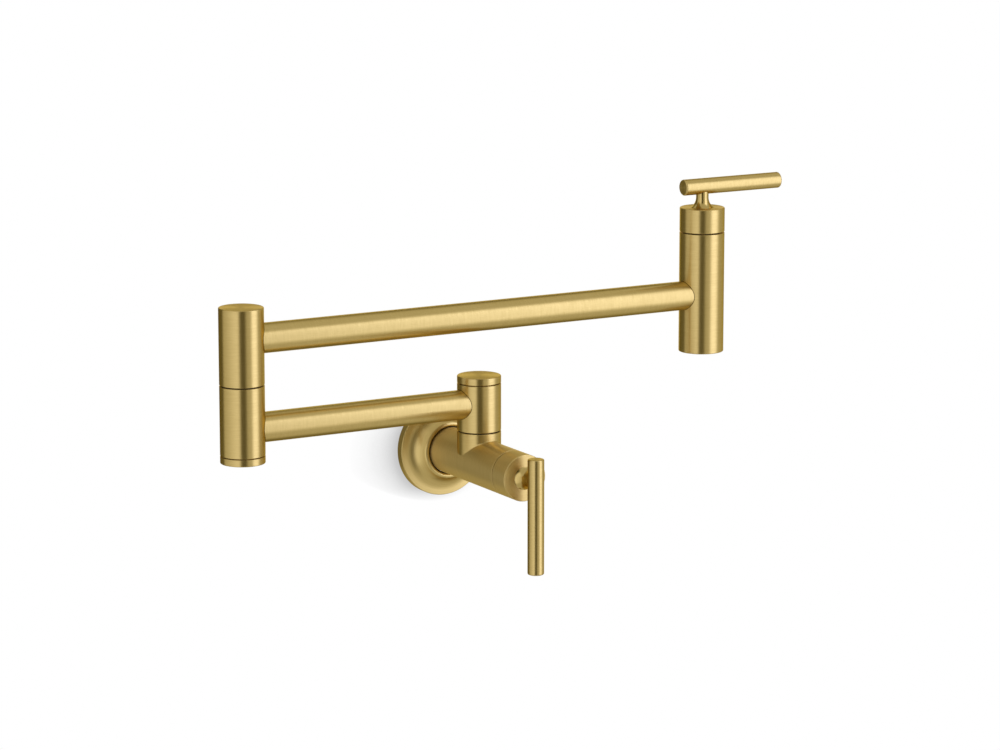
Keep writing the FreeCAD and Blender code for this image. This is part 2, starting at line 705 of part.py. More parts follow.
def wall_flange():
    """The flange, the gasket behind it and the rubber ring in its lip."""
    edges, sweep_r, plate_s = flange_profile()
    seal_r = BODY_D / 2 + FIT_GAP * 2 + FLANGE_SEAL
    seal_s = FLANGE_H - FLANGE_SEAL_INSET
    half = (FLANGE_SEAL + SEAL_SIDE) / 2
    flange = spun(edges).cut(ring(BODY_D / 2, seal_r, seal_s - half, seal_s + half))
    gasket_r = sweep_r - FIT_GAP
    pieces = {
        "wall_flange": flange,
        "flange_o_ring": seal_ring(seal_r, FIT_GAP, FLANGE_SEAL, seal_s),
        "wall_gasket": ring(gasket_r - GASKET_W, gasket_r, 0, plate_s),
    }
    return {name: placed(shape, wall_frame) for name, shape in pieces.items()}


def adapter_seals():
    """Places of the two rings on the adapter's barrel."""
    last = ADAPTER_L - ADAPTER_SEAL_INSET
    return last - ADAPTER_SEAL_STEP, last


def body_screw_s():
    """Distance from the wall to the grub screw that locks the valve body."""
    return ADAPTER_HEX_L + BODY_REAR_GAP + BODY_SCREW_INSET


def inlet():
    """Adapter on the supply pipe, its rings and the grub screw that locks the body on it."""
    barrel_r = adapter_d / 2
    bore_r = barrel_r + FIT_GAP
    screw_s = body_screw_s()
    half = ADAPTER_GROOVE_W / 2
    cuts = [
        rod(inlet_d / 2, -OVERRUN, INLET_L),
        rod(passage_d / 2, INLET_L - OVERRUN, ADAPTER_L + OVERRUN),
        ring(barrel_r - ADAPTER_GROOVE_CUT, bore_r + OVERRUN, screw_s - half, screw_s + half),
    ]
    cuts += [seal_groove(bore_r, FIT_GAP, ADAPTER_SEAL, place) for place in adapter_seals()]
    adapter = hexagon(adapter_af, 0, ADAPTER_HEX_L).fuse(rod(barrel_r, 0, ADAPTER_L)).cut(cuts)
    rings = [seal_ring(bore_r, FIT_GAP, ADAPTER_SEAL, place) for place in adapter_seals()]
    tip = V(0, -(barrel_r - ADAPTER_GROOVE_CUT + FIT_GAP), screw_s)
    screw = placed(grub_screw(BODY_SCREW_L), FreeCAD.Placement(tip, FreeCAD.Rotation(UP, -NORTH)))
    pieces = {
        "inlet_adapter": adapter,
        "adapter_o_rings": Part.makeCompound(rings),
        "body_set_screw": screw,
    }
    return {name: placed(shape, wall_frame) for name, shape in pieces.items()}


def valve_body():
    """Wall valve's body: a bored cylinder out of the wall with the pivot's upright stub."""
    rear = ADAPTER_HEX_L + BODY_REAR_GAP
    front = hub_joint_s - JOINT_GAP / 2
    body_r = BODY_D / 2
    bore_r = adapter_d / 2 + FIT_GAP
    barrel = turned((0, rear), (body_r, rear), (body_r, front, EDGE_ROUND), (0, front))
    stub_top = -JOINT_GAP / 2
    tail = stub_top - SPINDLE_TAIL_L - FIT_GAP
    stub = turned(
        (0, -pivot_joint_z),
        (COLUMN_D / 2, -pivot_joint_z),
        (COLUMN_D / 2, stub_top, EDGE_ROUND),
        (0, stub_top),
    )
    screw = V(0, 0, body_screw_s())
    floor_s = hub_joint_s + chamber_floor(BODY_FRONT) - PARTITION_T
    spaces = [
        placed(rod(bore_r, rear - OVERRUN, ADAPTER_L + FIT_GAP), wall_frame),
        placed(rod(passage_d / 2, ADAPTER_L, floor_s + OVERRUN), wall_frame),
        placed(Part.makeCylinder(SCREW_D / 2 + FIT_GAP, BODY_D, screw, -NORTH), wall_frame),
        placed(valve_space(BODY_FRONT), wall_valve_frame),
        placed(rod(SPINDLE_TAIL_D / 2 + FIT_GAP, tail, stub_top + OVERRUN), pivot_frame),
        placed(rod(SPINDLE_BORE / 2, -pivot_joint_z, tail + OVERRUN), pivot_frame),
    ]
    return placed(barrel, wall_frame).fuse(placed(stub, pivot_frame)).cut(spaces)


def elbow_head():
    """Upper half of the elbow: closed top, socket for the upper arm and the spindle's thread below."""
    low = -JOINT_GAP / 2
    top = -elbow_top
    tail = low - SPINDLE_TAIL_L - FIT_GAP
    tail_r = SPINDLE_TAIL_D / 2 + FIT_GAP
    body = turned(
        (tail_r, low),
        (COLUMN_D / 2, low, EDGE_ROUND),
        (COLUMN_D / 2, top, CROWN_ROUND),
        (0, top),
        (0, top + HEAD_WALL),
        (column_bore_r, top + HEAD_WALL),
        (column_bore_r, tail),
        (tail_r, tail),
    )
    return placed(body.cut(arm_socket(1, -elbow_arm, column_bore_r)), elbow_frame)


def arm_tube(start_x, end_x, height):
    """Plain tube between two columns, parallel to the wall."""
    tube = ring(ARM_D / 2 - ARM_WALL, ARM_D / 2, start_x, end_x)
    return placed(tube, FreeCAD.Placement(V(0, -PIVOT_OFFSET, height), FreeCAD.Rotation(UP, EAST)))


def outlet_stations():
    """Heights at the outlet, from the hub joint: rim, housing, gasket and the end of the bore."""
    rim = -(OUTLET_RISE + OUTLET_DROP)
    housing = rim + AERATOR_RECESS
    gasket = housing + AERATOR_L
    return rim, housing, gasket, gasket + AERATOR_GASKET_T


def outlet_column():
    """Outlet column: valve chamber above, arm socket at its middle and the aerator's bore below."""
    rim, _, _, bore_top = outlet_stations()
    outer_r = OUTLET_D / 2
    floor = chamber_floor(OUTLET_RISE)
    body = turned((0, rim), (outer_r, rim, CROWN_ROUND), (outer_r, mouth, EDGE_ROUND), (0, mouth))
    spaces = [
        valve_space(OUTLET_RISE),
        arm_socket(-1, -OUTLET_RISE, chamber_d / 2),
        rod(passage_d / 2, bore_top - OVERRUN, floor),
        rod(aerator_d / 2 + FIT_GAP, rim - OVERRUN, bore_top),
    ]
    return body.cut(spaces)


def aerator_holes(insert_r, low, high):
    """Rings of small holes around a central one, six more in each ring."""
    hole_r = insert_r * AERATOR_HOLE_SHARE / 2
    holes = [rod(hole_r, low, high)]
    for step in range(1, AERATOR_RINGS + 1):
        for index in range(6 * step):
            hole = rod(hole_r, low, high)
            hole.translate(EAST * (insert_r * AERATOR_STEP_SHARE * step))
            hole.rotate(ZERO, UP, 60 * index / step)
            holes.append(hole)
    return holes


def outlet():
    """The outlet column and its aerator: housing, perforated insert and gasket."""
    _, housing, gasket, bore_top = outlet_stations()
    outer_r = aerator_d / 2
    inner_r = outer_r - AERATOR_WALL
    lip_r = inner_r - AERATOR_LIP
    shelf = housing + AERATOR_LIP
    insert = rod(inner_r - FIT_GAP, shelf, gasket)
    pieces = {
        "outlet_column": outlet_column(),
        "aerator_housing": turned(
            (lip_r, housing),
            (outer_r, housing),
            (outer_r, gasket),
            (inner_r, gasket),
            (inner_r, shelf),
            (lip_r, shelf),
        ),
        "aerator_insert": insert.cut(aerator_holes(inner_r, shelf - OVERRUN, gasket + OVERRUN)),
        "aerator_gasket": ring(passage_d / 2, outer_r, gasket, bore_top),
    }
    return {name: placed(shape, outlet_frame) for name, shape in pieces.items()}


def pot_filler():
    """Every piece of the pot filler by name."""
    sleeve_end = column_bore_r + SOCKET_LAND + FIT_GAP
    outlet_end = chamber_d / 2 + SOCKET_LAND + FIT_GAP
    pieces = {
        "valve_body": valve_body(),
        "elbow_head": elbow_head(),
        "lower_arm_tube": arm_tube(-LOWER_REACH + sleeve_end, -sleeve_end, lower_arm_z),
        "upper_arm_tube": arm_tube(-LOWER_REACH + sleeve_end, outlet_x - outlet_end, upper_arm_z),
    }
    pieces.update(wall_flange())
    pieces.update(inlet())
    pieces.update(outlet())
    pieces.update(swivel("pivot", pivot_frame, pivot_cap, pivot_arm, -1))
    pieces.update(swivel("elbow", elbow_frame, elbow_cap, elbow_arm, 1))
    pieces.update(valve("wall", wall_valve_frame, BODY_FRONT, BODY_D))
    pieces.update(valve("outlet", outlet_frame, OUTLET_RISE, OUTLET_D))
    return pieces


def main():
    os.makedirs("parts", exist_ok=True)
    for name, shape in pot_filler().items():
        shape.exportStep(f"parts/{name}.step")
        print(name, shape.isValid(), len(shape.Solids), round(shape.Volume))


main()
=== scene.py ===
# %% [markdown]
# # A folding pot filler in brushed brass
# A pot filler is a cold tap on the wall above a stove. Two tube arms fold out over the pots, one
# quarter-turn valve shuts the water at the wall and a second one shuts it at the outlet.
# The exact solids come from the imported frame, in metres and already in their places. They are kept,
# because turned brass is as exact as its drawing. This lesson gives them their finish and their light, and
# adds what a drawing leaves out: the blend of a casting, the lines of solder at the arms and the thread
# for the pipe.

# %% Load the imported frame
import json

import bpy
import numpy as np
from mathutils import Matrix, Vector


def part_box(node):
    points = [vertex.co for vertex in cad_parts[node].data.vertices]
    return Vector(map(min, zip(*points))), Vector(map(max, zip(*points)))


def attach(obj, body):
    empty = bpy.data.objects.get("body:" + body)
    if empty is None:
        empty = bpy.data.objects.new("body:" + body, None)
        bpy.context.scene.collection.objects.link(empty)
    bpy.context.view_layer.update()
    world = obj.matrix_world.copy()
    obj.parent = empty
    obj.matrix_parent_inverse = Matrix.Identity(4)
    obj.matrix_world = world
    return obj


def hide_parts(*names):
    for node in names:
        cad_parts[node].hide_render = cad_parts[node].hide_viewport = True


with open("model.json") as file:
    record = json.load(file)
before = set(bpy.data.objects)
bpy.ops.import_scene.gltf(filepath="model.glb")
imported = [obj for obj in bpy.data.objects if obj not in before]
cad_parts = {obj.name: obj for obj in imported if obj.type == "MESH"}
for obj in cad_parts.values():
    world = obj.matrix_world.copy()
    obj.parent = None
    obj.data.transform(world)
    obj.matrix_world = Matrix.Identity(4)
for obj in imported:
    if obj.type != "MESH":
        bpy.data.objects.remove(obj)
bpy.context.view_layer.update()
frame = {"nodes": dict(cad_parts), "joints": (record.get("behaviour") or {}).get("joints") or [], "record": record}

scene = bpy.context.scene
scene.view_settings.view_transform = "Standard"

# %% [markdown]
# ## Camera
# The picture was taken from the left of the tap and a little above it, with a long lens from nearly three
# metres away, so that the columns stay almost parallel. A camera is a place, a point to look at and a
# focal length. The track quaternion turns its -Z axis onto the line between the two, which needs no
# constraint.

# %% Camera
CAMERA_PLACE = (-1.33971, -2.44689, 0.6028)
CAMERA_TARGET = (0.0174, -0.05909, 0.06185)
LENS_MM = 138.88
SENSOR_MM = 36.0

camera = bpy.data.objects.new("camera", bpy.data.cameras.new("camera"))
camera.data.lens = LENS_MM
camera.data.sensor_width = SENSOR_MM
camera.location = CAMERA_PLACE
camera.rotation_mode = "QUATERNION"
sight = Vector(CAMERA_TARGET) - Vector(CAMERA_PLACE)
camera.rotation_quaternion = sight.to_track_quat("-Z", "Y")
scene.collection.objects.link(camera)
scene.camera = camera
print("camera stands", round(sight.length, 3), "m away")

# %% [markdown]
# ## Helpers for materials
# Colours are easier to judge as the hex values of a paint program, which are sRGB, while shaders add light
# in linear numbers. One function converts. A second one adds a shader node, sets it and links it, so that
# each material below reads as a list of steps. Three short ones begin a material, end it and put it on a
# solid.

# %% Colour and node helpers
MM = 0.001


def linear(hex_colour):
    """Linear RGBA of an sRGB hex colour: a short straight foot, then the 2.4 power."""
    srgb = np.array([int(hex_colour[i:i + 2], 16) for i in (1, 3, 5)]) / 255
    light = np.where(srgb <= 0.04045, srgb / 12.92, ((srgb + 0.055) / 1.055) ** 2.4)
    return (*light.tolist(), 1.0)


def node(tree, kind, inputs=None, **settings):
    """Adds a shader node; an input is a socket to link or a value to set."""
    made = tree.nodes.new("ShaderNode" + kind)
    for key, value in settings.items():
        setattr(made, key, value)
    for key, value in (inputs or {}).items():
        if isinstance(value, bpy.types.NodeSocket):
            tree.links.new(value, made.inputs[key])
        else:
            made.inputs[key].default_value = value
    return made


def blank_material(name):
    """A new material with an empty node tree."""
    material = bpy.data.materials.new(name)
    material.use_nodes = True
    material.node_tree.nodes.clear()
    return material, material.node_tree


def surface(tree, shader):
    """Links a shader node to the material's output."""
    node(tree, "OutputMaterial", {"Surface": shader.outputs[0]})


def dress(name, material):
    """Gives a solid one material in place of its plain one."""
    slots = frame["nodes"][name].data.materials
    slots.clear()
    slots.append(material)


WHITE = linear("#FFFFFF")
print("mid grey in linear light:", round(linear("#808080")[0], 3))

# %% [markdown]
# ## Brushed brass
# Every visible piece is turned brass that was polished, coated in a soft gold tone and then brushed while
# it spun in a lathe. The brush leaves fine lines around the axis. Across the lines the surface is rough
# and along them it is nearly smooth, so highlights smear along the length of a column and stay narrow
# around it, and a flat end face shows two bright fans. An image of scratches could do this on one piece
# only. Here the lines are worked out from the distance to the axis, which fits every turned shape and
# needs no UV map.

# %% Lines around an axis
# Real lines are about a tenth as wide; they are drawn coarser, so that they show in the picture
BRUSH_LINE = 0.9 * MM
BRUSH_TURN = 1.6  # noise cells per radian around the piece, so a line fades after about a tenth of a turn


def brushing(tree, axis, centre):
    """Brush lines around an axis: the direction around it, the distance from it and a stretched position.

    The profile distance is the radius less the height, which grows steadily along an end face and down a
    side. The stretched position changes fast with that distance and slowly with the angle.
    """
    place = node(tree, "TexCoord").outputs["Object"]
    offset = node(tree, "VectorMath", {0: place, 1: centre}, operation="SUBTRACT").outputs[0]
    around = node(tree, "VectorMath", {0: axis, 1: offset}, operation="CROSS_PRODUCT").outputs[0]
    height = node(tree, "VectorMath", {0: offset, 1: axis}, operation="DOT_PRODUCT").outputs["Value"]
    radius = node(tree, "VectorMath", {0: around}, operation="LENGTH").outputs["Value"]
    profile = node(tree, "Math", {0: radius, 1: height}, operation="SUBTRACT").outputs[0]
    lines = node(tree, "Math", {0: profile, 1: BRUSH_LINE}, operation="DIVIDE").outputs[0]
    along = node(tree, "VectorMath", {0: axis, "Scale": lines}, operation="SCALE").outputs[0]
    angle = node(tree, "VectorMath", {0: around}, operation="NORMALIZE").outputs[0]
    turn = node(tree, "VectorMath", {0: angle, "Scale": BRUSH_TURN}, operation="SCALE").outputs[0]
    stretched = node(tree, "VectorMath", {0: along, 1: turn}, operation="ADD").outputs[0]
    return around, radius, stretched


print("brush lines drawn", round(BRUSH_LINE / MM, 2), "mm wide")

# %% Brass along the lines
GRAZING_TINT = "#E4D197"  # brushed brass stays yellow at a glancing angle, where polished metal turns white
STREAK_LOW, STREAK_HIGH = 0.28, 0.72  # the noise values of the deepest and the lightest line
STREAK_DETAIL, STREAK_FINENESS = 4.0, 0.65
GLOSS_SWING = 0.03  # roughness that a line gains or loses
LINE_DEPTH, LINE_STRENGTH = 0.02 * MM, 0.2


def brush_finish(tree, around, stretched, finish):
    """Brass, brushed along the given lines: colour, gloss and relief all vary from line to line.

    Highlights smear square to the lines, along the cross product of their direction and the normal.
    """
    streaks = node(tree, "TexNoise", {
        "Vector": stretched, "Scale": 1.0, "Detail": STREAK_DETAIL, "Roughness": STREAK_FINENESS,
    })
    streak = node(tree, "MapRange", {
        "Value": streaks.outputs["Fac"], "From Min": STREAK_LOW, "From Max": STREAK_HIGH,
    }).outputs[0]
    deep, light = linear(finish["deep"]), linear(finish["light"])
    colour = node(tree, "Mix", {0: streak, 6: deep, 7: light}, data_type="RGBA").outputs[2]
    gloss = node(tree, "MapRange", {
        "Value": streak,
        "To Min": finish["roughness"] + GLOSS_SWING,
        "To Max": finish["roughness"] - GLOSS_SWING,
    })
    relief = node(tree, "Bump", {"Height": streak, "Strength": LINE_STRENGTH, "Distance": LINE_DEPTH})
    turned = node(tree, "VectorTransform", {0: around}, convert_from="OBJECT", convert_to="WORLD")
    normal = node(tree, "NewGeometry").outputs["Normal"]
    smear = node(tree, "VectorMath", {0: turned.outputs[0], 1: normal}, operation="CROSS_PRODUCT")
    return node(tree, "BsdfPrincipled", {
        "Base Color": colour,
        "Metallic": 1.0,
        "Roughness": gloss.outputs[0],
        "Anisotropic": finish["anisotropy"],
        "Specular Tint": linear(GRAZING_TINT),
        "Tangent": smear.outputs[0],
        "Normal": relief.outputs[0],
    })


print("roughness swings by", GLOSS_SWING, "from line to line")

# %% Kinds of brushing
# The spun and cast brass are also a little lighter in colour: painted light, as if more light fell on the flange
# and on the wall valve's body and hub
# The columns, their caps, the outlet's hub and the wall's lever: brushed long and evenly
SATIN = {"deep": "#CBB273", "light": "#D5BC7D", "roughness": 0.32, "anisotropy": 0.76}
# The arms and the outlet's lever are drawn stock, brushed in a centreless machine with shorter strokes
DRAWN = {"deep": "#D0B777", "light": "#DAC181", "roughness": 0.3, "anisotropy": 0.7}
# The flange is spun from sheet and brushed more lightly, so its highlights smear less
SPUN = {"deep": "#D0B777", "light": "#DAC181", "roughness": 0.34, "anisotropy": 0.3}
# The wall valve's body and hub are cast before they are turned, and their brushing is rougher
CAST = {"deep": "#D2B878", "light": "#DCC281", "roughness": 0.4, "anisotropy": 0.8}
# A brush hardly reaches the posts between hub and lever, so they keep some of their polish
NECK = {"deep": "#C6AC6C", "light": "#D0B777", "roughness": 0.17, "anisotropy": 0.2}

FINISH = {
    "wall_flange": SPUN, "wall_hub": CAST, "wall_post": NECK, "outlet_post": NECK,
    "lower_arm_tube": DRAWN, "upper_arm_tube": DRAWN, "outlet_lever": DRAWN,
}
print("pieces with a brushing of their own:", ", ".join(FINISH))

# %% Brushed pieces
ALONG_WALL = (1.0, 0.0, 0.0)
OUT_OF_WALL = (0.0, -1.0, 0.0)
UP = (0.0, 0.0, 1.0)
TURNED = {
    ALONG_WALL: ("lower_arm_tube", "upper_arm_tube", "outlet_lever"),
    OUT_OF_WALL: ("wall_flange", "wall_hub", "wall_post"),
    UP: (
        "pivot_sleeve", "pivot_cap", "elbow_sleeve", "elbow_cap", "elbow_head",
        "outlet_column", "outlet_hub", "outlet_post", "wall_lever",
    ),
}


def middle(name):
    """Middle of a node's box, which lies on the axis of a turned piece."""
    low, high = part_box(name)
    return (Vector(low) + Vector(high)) / 2


for axis, names in TURNED.items():
    for name in names:
        material, tree = blank_material("brushed_brass_" + name)
        around, _, stretched = brushing(tree, axis, middle(name))
        surface(tree, brush_finish(tree, around, stretched, FINISH.get(name, SATIN)))
        dress(name, material)
print("brushed pieces:", sum(len(names) for names in TURNED.values()))

# %% [markdown]
# ## The body of the wall valve
# The wall valve's body is two cylinders in one piece: one out of the wall and a short upright stub that
# carries the pivot. Each was brushed around its own axis, so one material holds both fields of lines. What
# lies further from the level axis than the body's own radius belongs to the stub, and that test chooses
# between them.

# %% Brass brushed around two axes
BODY_R = 17.0 * MM
STUB_R = 16.0 * MM
EDGE_SLACK = 0.1 * MM
WALL_CENTRE = (0.0, 0.0, 0.0)  # the level axis of flange, body and adapter starts here
places = {joint["name"]: Vector(joint["pos_m"]) for joint in frame["joints"]}
pivot = places["lower_arm_swing"]
stub_foot = (pivot.x, pivot.y, 0.0)

body_brass, tree = blank_material("brushed_brass_valve_body")
body_around, body_radius, body_lines = brushing(tree, OUT_OF_WALL, WALL_CENTRE)
stub_around, _, stub_lines = brushing(tree, UP, stub_foot)
limit = BODY_R + EDGE_SLACK
beyond = node(tree, "Math", {0: body_radius, 1: limit}, operation="GREATER_THAN").outputs[0]
around = node(tree, "Mix", {0: beyond, 4: body_around, 5: stub_around}, data_type="VECTOR").outputs[1]
lines = node(tree, "Mix", {0: beyond, 4: body_lines, 5: stub_lines}, data_type="VECTOR").outputs[1]
surface(tree, brush_finish(tree, around, lines, CAST))
dress("valve_body", body_brass)
print("valve body brushed around two axes, pivot at", [round(value, 4) for value in pivot])

# %% [markdown]
# ## The stock inside the tap
# Behind the brass are seals, bushes, discs and screws, each from its own stock. They show at the back,
# under the outlet, as thin lines at the joints and when the tap is taken apart. Their surfaces come from a
# mould, a saw or a lapping plate and have no direction, so one grain in real millimetres sets colour,
# gloss and relief together.

# %% Stock by material slot
# Name, dark and light colour, kind of grain, its size in millimetres, roughness and other inputs
STOCK = {
    # Bare brass bar, browned by tarnish in small clouds
    "machined_brass": (
        "turned_brass_bar", "#80602C", "#B48D48", "TexNoise", 1.5, 0.36, {"Metallic": 1.0},
    ),
    # Nitrile rubber: nearly black and dull, with pale dust in its pores
    "rubber_seal": (
        "moulded_nitrile_rubber", "#111111", "#262524", "TexNoise", 0.4, 0.6, {"IOR": 1.52},
    ),
    # Closed-cell foam: round cells, lighter towards their rims: a painted highlight where the rims catch light
    "foam_gasket": (
        "cut_closed_cell_foam", "#232324", "#4A4A4B", "TexVoronoi", 0.9, 0.85, {"IOR": 1.45},
    ),
    # White acetal from the bar: milky and slightly waxy
    "white_acetal": (
        "machined_white_acetal", "#D5D3CA", "#F0EEE8", "TexNoise", 1.2, 0.38, {"IOR": 1.48},
    ),
    # Black acetal from a mould: brownish, with a fine matt skin that hardly shines
    "black_acetal": (
        "moulded_black_acetal", "#140B05", "#22140A", "TexNoise", 0.5, 0.6, {"Specular IOR Level": 0.15},
    ),
    # Alumina lapped flat: pale, hard and glossy
    "ceramic_disc": (
        "lapped_alumina", "#E6E0D6", "#F6F3EE", "TexNoise", 2.5, 0.14, {"IOR": 1.77},
    ),
    # Stainless steel as it leaves the header: grey, with rubbed edges
    "steel_fastener": (
        "plain_stainless_steel", "#7E7F80", "#B6B5B2", "TexNoise", 0.8, 0.36, {"Metallic": 1.0},
    ),
    # Pale polypropylene of the flow straightener
    "aerator_plastic": (
        "moulded_polypropylene", "#C6C6C1", "#E0E0DC", "TexNoise", 0.7, 0.42, {"IOR": 1.49},
    ),
}
print("kinds of stock:", len(STOCK))

# %% Dress the inner pieces
GRAIN_GLOSS = 0.08  # roughness that the grain adds or takes
GRAIN_STRENGTH = 0.3
GRAIN_RELIEF = 0.05  # height of the relief as a share of the grain's size


def stock_finish(tree, dark, light, texture, grain_mm, roughness, extra):
    """One grain for everything: it mixes two colours, moves the roughness and lifts the surface a little."""
    size = grain_mm * MM
    place = node(tree, "TexCoord").outputs["Object"]
    grain = node(tree, texture, {"Vector": place, "Scale": 1 / size}).outputs[0]
    colour = node(tree, "Mix", {0: grain, 6: linear(dark), 7: linear(light)}, data_type="RGBA")
    gloss = node(tree, "MapRange", {
        "Value": grain, "To Min": roughness - GRAIN_GLOSS, "To Max": roughness + GRAIN_GLOSS,
    })
    relief = node(tree, "Bump", {
        "Height": grain, "Strength": GRAIN_STRENGTH, "Distance": GRAIN_RELIEF * size,
    })
    return node(tree, "BsdfPrincipled", {
        "Base Color": colour.outputs[2],
        "Roughness": gloss.outputs[0],
        "Normal": relief.outputs[0],
        **extra,
    })


stock = {}
for slot, (name, *grain) in STOCK.items():
    stock[slot], tree = blank_material(name)
    surface(tree, stock_finish(tree, *grain))
inner = [piece for piece in frame["record"]["subparts"] if piece["material_slot"] in stock]
for piece in inner:
    dress(piece["node"], stock[piece["material_slot"]])
print("inner pieces dressed:", len(inner))

# %% [markdown]
# ## Surfaces from grids
# The pieces below are grids of points: one parameter runs along a path and one across a profile. Faces
# join each point to its neighbours, and a closed path or profile joins its last point to its first. The
# signed volume of a closed grid says whether its faces look outwards, and they are turned round if not.

# %% Points and faces
def around_circle(steps):
    """Angles once round, without the repeated last one."""
    return np.linspace(0.0, 2 * np.pi, steps, endpoint=False)


def stacked(x, y, z):
    """One array of points from three arrays of coordinates."""
    return np.stack(np.broadcast_arrays(x, y, z), axis=-1)


def grid_faces(rows, columns, closed_rows=False, closed_columns=False):
    """Quads between neighbours, with the grid's ends joined where it is closed."""
    row = np.arange(rows if closed_rows else rows - 1)[:, None]
    column = np.arange(columns if closed_columns else columns - 1)[None, :]
    next_row, next_column = (row + 1) % rows, (column + 1) % columns
    corners = [row * columns + column, row * columns + next_column]
    corners += [next_row * columns + next_column, next_row * columns + column]
    return np.stack(corners, axis=-1).reshape(-1, 4)


def volume(points, faces):
    """Signed volume inside quads: a sixth of the sum of the triple products of their two triangles."""
    a, b, c, d = (points[faces[:, k]] for k in range(4))
    return float((a * (np.cross(b, c) + np.cross(c, d))).sum() / 6)


print("two rows of three points, closed round:", len(grid_faces(2, 3, closed_columns=True)), "faces")

# %% Meshes and pieces
SHARP_EDGE = np.radians(40.0)


def mesh_object(name, points, faces):
    """A smooth mesh object at the origin from arrays of points and faces."""
    mesh = bpy.data.meshes.new(name)
    mesh.from_pydata(points.reshape(-1, 3).tolist(), [], faces.tolist())
    mesh.shade_smooth()
    made = bpy.data.objects.new(name, mesh)
    scene.collection.objects.link(made)
    return made


def closed_piece(name, grid, body, material):
    """A piece from a grid that is closed both ways, riding on a body of the tap."""
    points = grid.reshape(-1, 3)
    faces = grid_faces(*grid.shape[:2], closed_rows=True, closed_columns=True)
    if volume(points, faces) < 0:
        faces = faces[:, ::-1]
    made = mesh_object(name, points, faces)
    made.data.set_sharp_from_angle(angle=SHARP_EDGE)
    made.data.materials.append(material)
    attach(made, body)
    return made


print("edges over", round(np.degrees(SHARP_EDGE)), "degrees stay sharp")

# %% [markdown]
# ## The blend under the stub
# Where the stub stands on the body, the two cylinders don't meet in a knife edge: a small hollow blend
# runs round it and catches a thin line of light. A bevel modifier would need one clean mesh of both
# cylinders. A ball that rolls in the corner gives the blend exactly: its centre keeps its own radius away
# from both cylinders, and its surface between the two points of contact is the blend.

# %% Rolling ball
BLEND_R = 1.0 * MM


def stub_blend(steps, arc_steps):
    """Ring of arcs between stub and body.

    The centre goes round the stub at stub radius plus ball radius, at the height where it is body radius
    plus ball radius from the level axis. The two directions of contact point back at the two axes, and the
    arc turns evenly from one to the other. A last point inside the metal closes the profile.
    """
    angle = around_circle(steps)[:, None]
    share = np.linspace(0.0, 1.0, arc_steps)[None, :, None]
    x = (STUB_R + BLEND_R) * np.cos(angle)
    y = (STUB_R + BLEND_R) * np.sin(angle)
    z = np.sqrt((BODY_R + BLEND_R) ** 2 - x ** 2)
    centre = stacked(x, y, z)
    to_stub = stacked(-np.cos(angle), -np.sin(angle), 0.0)
    to_body = stacked(-x, 0.0, -z) / (BODY_R + BLEND_R)
    turn = np.arccos((to_stub * to_body).sum(axis=-1, keepdims=True))
    contact = (np.sin((1 - share) * turn) * to_stub + np.sin(share * turn) * to_body) / np.sin(turn)
    root = centre + BLEND_R * (to_stub + to_body)
    return np.concatenate([centre + BLEND_R * contact, root], axis=1) + np.array(stub_foot)


ring = stub_blend(steps=240, arc_steps=9)
blend = closed_piece("stub_blend", ring, "wall_valve", body_brass)
print("blend points:", len(blend.data.vertices))

# %% [markdown]
# ## Solder at the arms, with a painted shade line
# Each arm is a tube that was cut to fit round its column and soldered from inside. A hairline of solder
# stays in the corner. Its dark colour is painted shade: it draws the thin dark line of shadow in that
# corner. The corner is the saddle where a level tube meets an upright cylinder, and a round bead is
# carried along it.

# %% Solder beads
ARM_R = 10.75 * MM
COLUMN_R = 16.0 * MM
OUTLET_R = 16.75 * MM
BEAD_R = 0.2 * MM


def solder_bead(column_r, side, steps, bead_steps):
    """Bead along a saddle on an upright cylinder through the origin, on its +X or -X side.

    Depth and height go round the tube, and x follows from the cylinder's circle. The bead's own circle
    lies between the outward directions of the cylinder and of the tube, made square to each other.
    """
    angle = around_circle(steps)[:, None]
    depth, height = ARM_R * np.sin(angle), ARM_R * np.cos(angle)
    reach = side * np.sqrt(column_r ** 2 - depth ** 2)
    from_column = stacked(reach, depth, 0.0) / column_r
    from_tube = stacked(0.0, np.sin(angle), np.cos(angle))
    square = from_tube - (from_tube * from_column).sum(axis=-1, keepdims=True) * from_column
    square = square / np.linalg.norm(square, axis=-1, keepdims=True)
    bead = around_circle(bead_steps)[None, :, None]
    return stacked(reach, depth, height) + BEAD_R * (np.cos(bead) * from_column + np.sin(bead) * square)


# Dark brown: painted shade, for the thin shadow line in the corner where arm meets column
solder_painted_shade, tree = blank_material("silver_solder_painted_dark_shade")
surface(tree, stock_finish(tree, "#4A3A18", "#6B5626", "TexNoise", 0.8, 0.5, {"Metallic": 1.0}))
elbow, outlet = places["upper_arm_swing"], places["outlet_lever_turn"]
lower_z, upper_z = middle("lower_arm_tube").z, middle("upper_arm_tube").z
BEADS = {
    "solder_pivot": (COLUMN_R, -1.0, (pivot.x, pivot.y, lower_z), "lower_arm"),
    "solder_elbow_sleeve": (COLUMN_R, 1.0, (elbow.x, elbow.y, lower_z), "lower_arm"),
    "solder_elbow_head": (COLUMN_R, 1.0, (elbow.x, elbow.y, upper_z), "upper_arm"),
    "solder_outlet": (OUTLET_R, -1.0, (outlet.x, outlet.y, upper_z), "upper_arm"),
}
for name, (column_r, side, place, body) in BEADS.items():
    grid = solder_bead(column_r, side, steps=160, bead_steps=8) + np.array(place)
    closed_piece(name, grid, body, solder_painted_shade)
print("beads:", ", ".join(BEADS))

# %% [markdown]
# ## The threaded inlet
# The supply pipe screws into a hexagon adapter behind the flange, with the half-inch pipe thread of most
# taps: 14 threads to the inch, with round crests and roots. The solid has a plain bore, because a thread
# is expensive in a drawing. Here the adapter is one closed surface: the profile of its wall is carried
# round the axis, a wave that climbs one pitch per turn is added to the bore, and the outside is held
# inside a hexagon and inside the cone that chamfers its corners.

